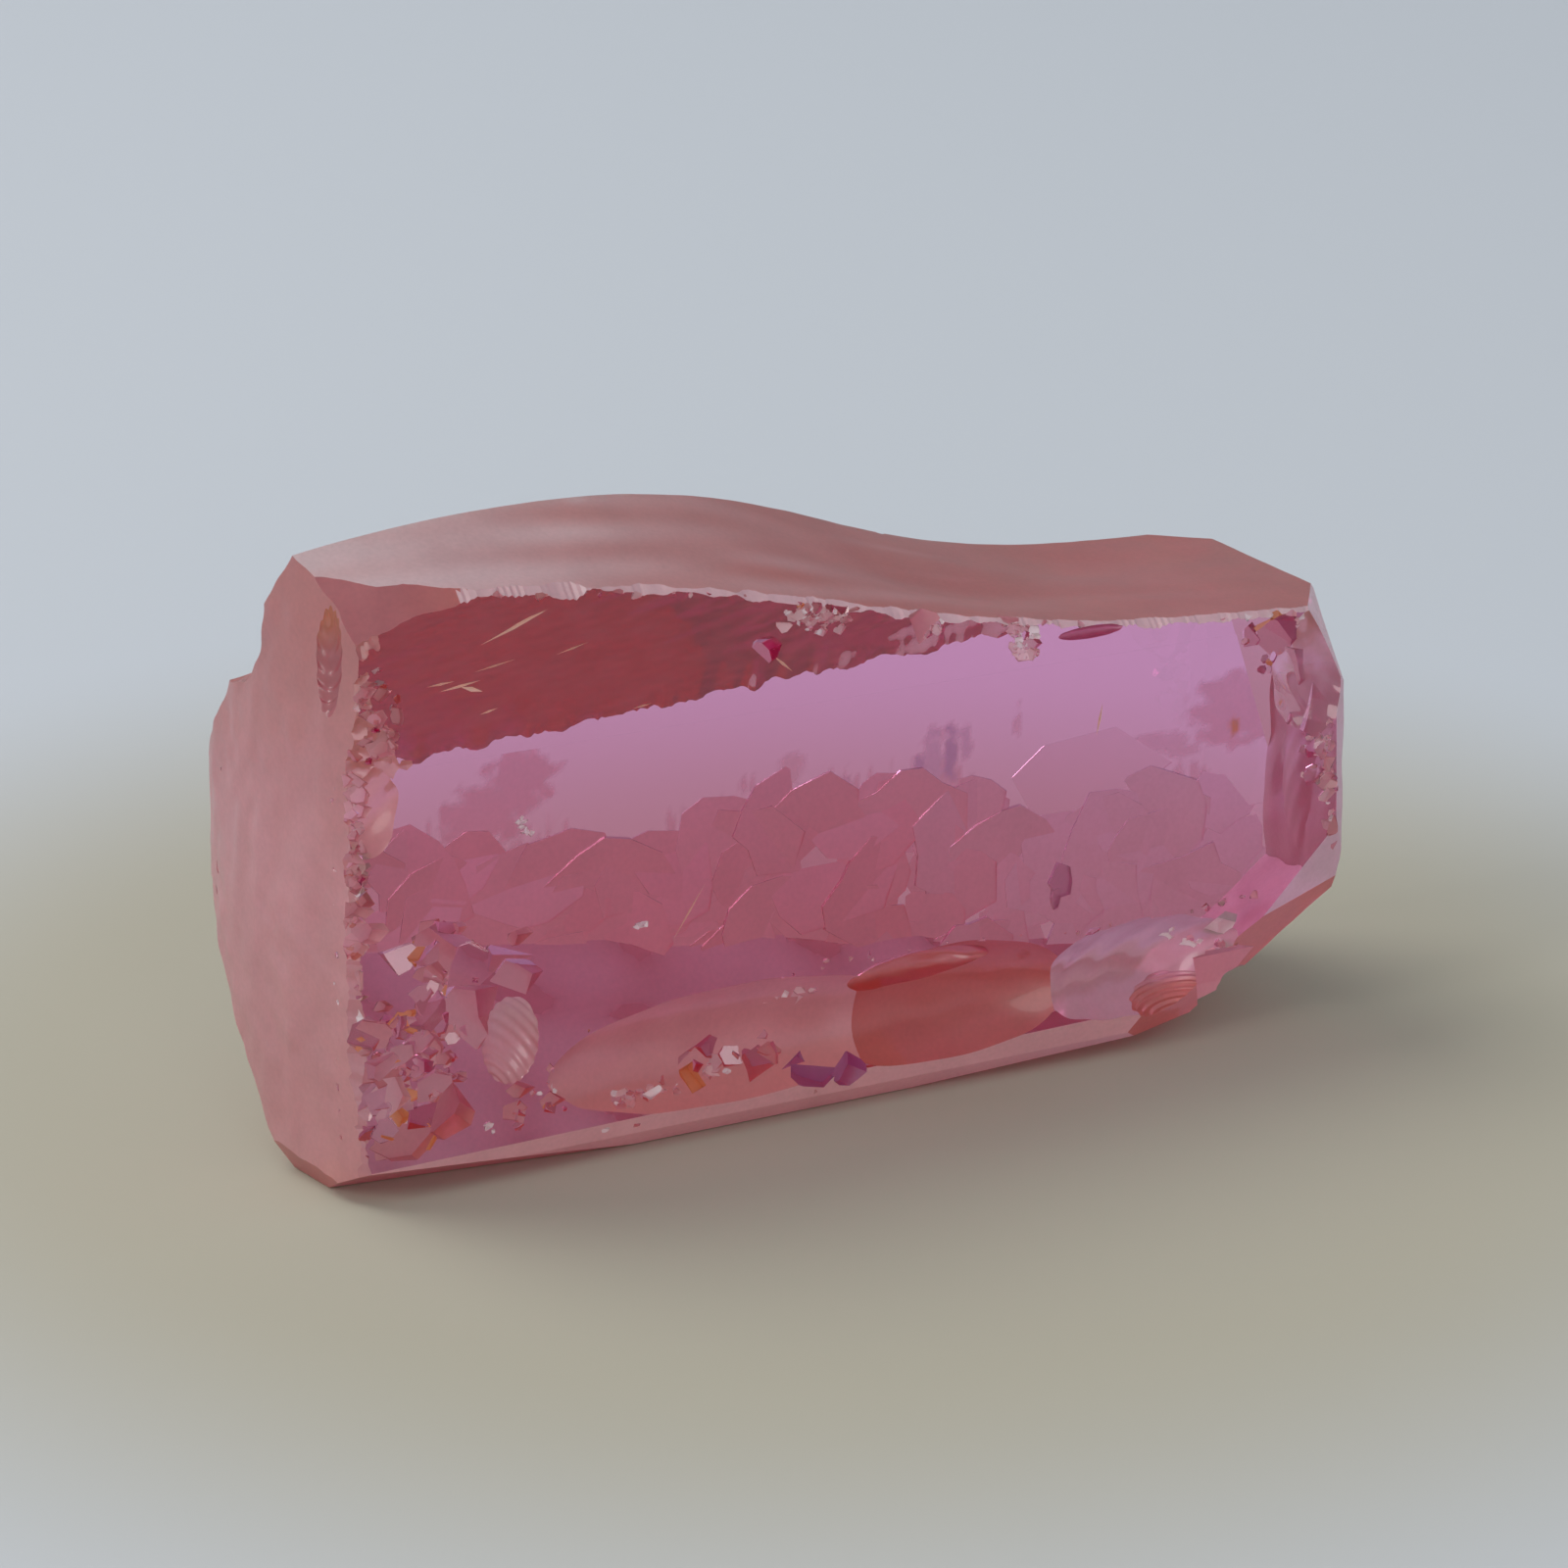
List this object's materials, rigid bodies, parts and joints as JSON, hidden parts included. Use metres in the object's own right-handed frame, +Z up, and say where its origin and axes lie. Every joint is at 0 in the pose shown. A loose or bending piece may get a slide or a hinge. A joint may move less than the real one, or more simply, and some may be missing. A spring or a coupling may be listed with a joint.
{
  "type": "rough sapphire",
  "caption": "Rough pink sapphire crystal fragment with a clear flat front, frosted top and end, conchoidal scoops along its lower rim, and a flat underside to lie on.",
  "frame": {"origin": "middle of the bottom of the bounding box, on the surface the stone lies on", "axes": "+Z up, +X along the length towards the thinner end, the clear flat front facing -Y"},
  "size_m": [0.047, 0.012, 0.026],
  "materials": {
    "sapphire": "see-through pink crystal, index 1.76, glassy where cleaved flat and frosted on the skin and the broken ends"
  },
  "bodies": {
    "root": {"sapphire_crystal": "sapphire"}
  },
  "joints": []
}
